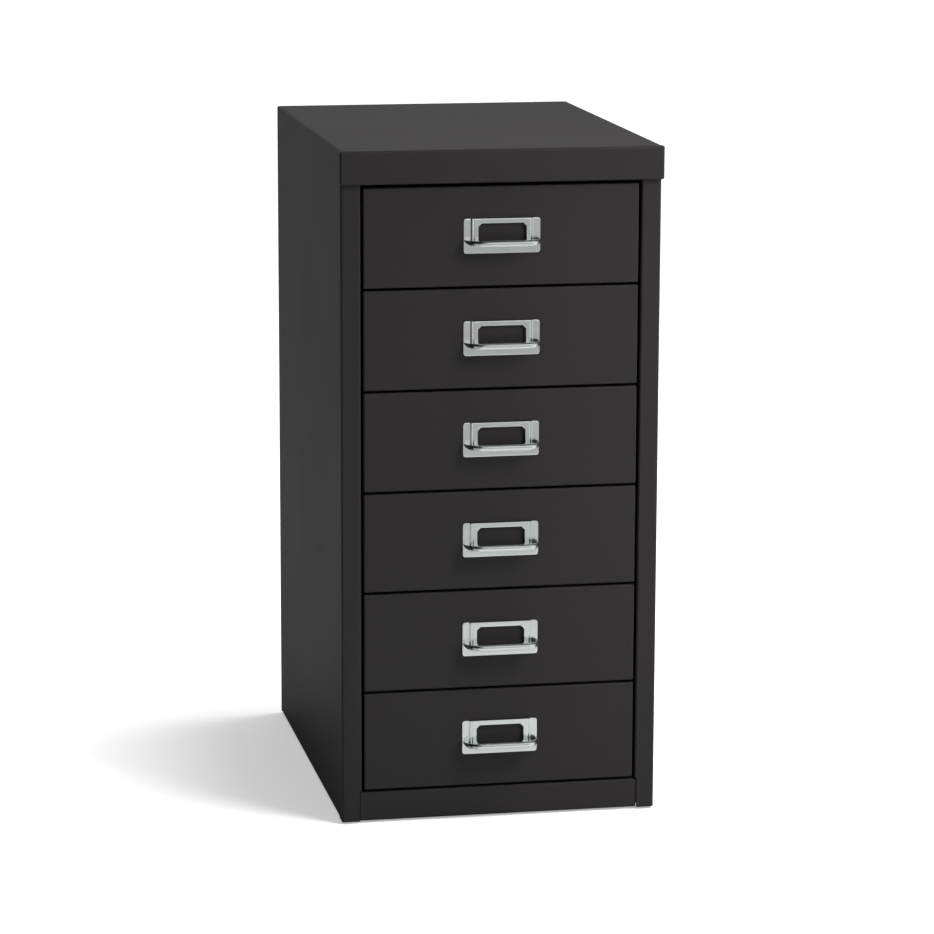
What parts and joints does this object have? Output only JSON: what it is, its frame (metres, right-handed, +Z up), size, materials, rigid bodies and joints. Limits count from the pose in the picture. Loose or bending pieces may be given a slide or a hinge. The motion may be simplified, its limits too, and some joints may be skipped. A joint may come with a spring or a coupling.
{
  "type": "multi-drawer cabinet",
  "caption": "Small floor-standing steel cabinet with a stack of equal shallow drawers, each with a stamped metal pull that is also a card holder.",
  "frame": {"origin": "middle of the foot of the whole part's box, on the floor", "axes": "+Z up, the drawers face -Y and open along it, +X to the right as seen from the front"},
  "size_m": [0.2814, 0.3976, 0.59],
  "materials": {
    "carcass_paint": "satin powder coat",
    "drawer_paint": "satin powder coat",
    "runner_steel": "satin powder coat",
    "pull_chrome": "bright nickel-chrome plate",
    "glide_nylon": "moulded nylon",
    "foot_rubber": "moulded rubber"
  },
  "bodies": {
    "cabinet": {"side_panel_left": "carcass_paint", "side_panel_right": "carcass_paint", "back_panel": "carcass_paint", "base_pan": "carcass_paint", "top_cap": "carcass_paint", "bottom_rail": "carcass_paint", "foot_front_left": "foot_rubber", "foot_front_right": "foot_rubber", "foot_rear_left": "foot_rubber", "foot_rear_right": "foot_rubber", "runner_1_left": "runner_steel", "runner_1_right": "runner_steel", "runner_2_left": "runner_steel", "runner_2_right": "runner_steel", "runner_3_left": "runner_steel", "runner_3_right": "runner_steel", "runner_4_left": "runner_steel", "runner_4_right": "runner_steel", "runner_5_left": "runner_steel", "runner_5_right": "runner_steel", "runner_6_left": "runner_steel", "runner_6_right": "runner_steel"},
    "drawer_1": {"drawer_front_1": "drawer_paint", "drawer_tray_1": "drawer_paint", "pull_1": "pull_chrome", "glide_1_left": "glide_nylon", "glide_1_right": "glide_nylon"},
    "drawer_2": {"drawer_front_2": "drawer_paint", "drawer_tray_2": "drawer_paint", "pull_2": "pull_chrome", "glide_2_left": "glide_nylon", "glide_2_right": "glide_nylon"},
    "drawer_3": {"drawer_front_3": "drawer_paint", "drawer_tray_3": "drawer_paint", "pull_3": "pull_chrome", "glide_3_left": "glide_nylon", "glide_3_right": "glide_nylon"},
    "drawer_4": {"drawer_front_4": "drawer_paint", "drawer_tray_4": "drawer_paint", "pull_4": "pull_chrome", "glide_4_left": "glide_nylon", "glide_4_right": "glide_nylon"},
    "drawer_5": {"drawer_front_5": "drawer_paint", "drawer_tray_5": "drawer_paint", "pull_5": "pull_chrome", "glide_5_left": "glide_nylon", "glide_5_right": "glide_nylon"},
    "drawer_6": {"drawer_front_6": "drawer_paint", "drawer_tray_6": "drawer_paint", "pull_6": "pull_chrome", "glide_6_left": "glide_nylon", "glide_6_right": "glide_nylon"}
  },
  "joints": [
    {"name": "drawer_1_slide", "type": "slide", "parent": "cabinet", "child": "drawer_1", "axis": [0, -1, 0], "range_m": [0, 0.29]},
    {"name": "drawer_2_slide", "type": "slide", "parent": "cabinet", "child": "drawer_2", "axis": [0, -1, 0], "range_m": [0, 0.29]},
    {"name": "drawer_3_slide", "type": "slide", "parent": "cabinet", "child": "drawer_3", "axis": [0, -1, 0], "range_m": [0, 0.29]},
    {"name": "drawer_4_slide", "type": "slide", "parent": "cabinet", "child": "drawer_4", "axis": [0, -1, 0], "range_m": [0, 0.29]},
    {"name": "drawer_5_slide", "type": "slide", "parent": "cabinet", "child": "drawer_5", "axis": [0, -1, 0], "range_m": [0, 0.29]},
    {"name": "drawer_6_slide", "type": "slide", "parent": "cabinet", "child": "drawer_6", "axis": [0, -1, 0], "range_m": [0, 0.29]}
  ]
}
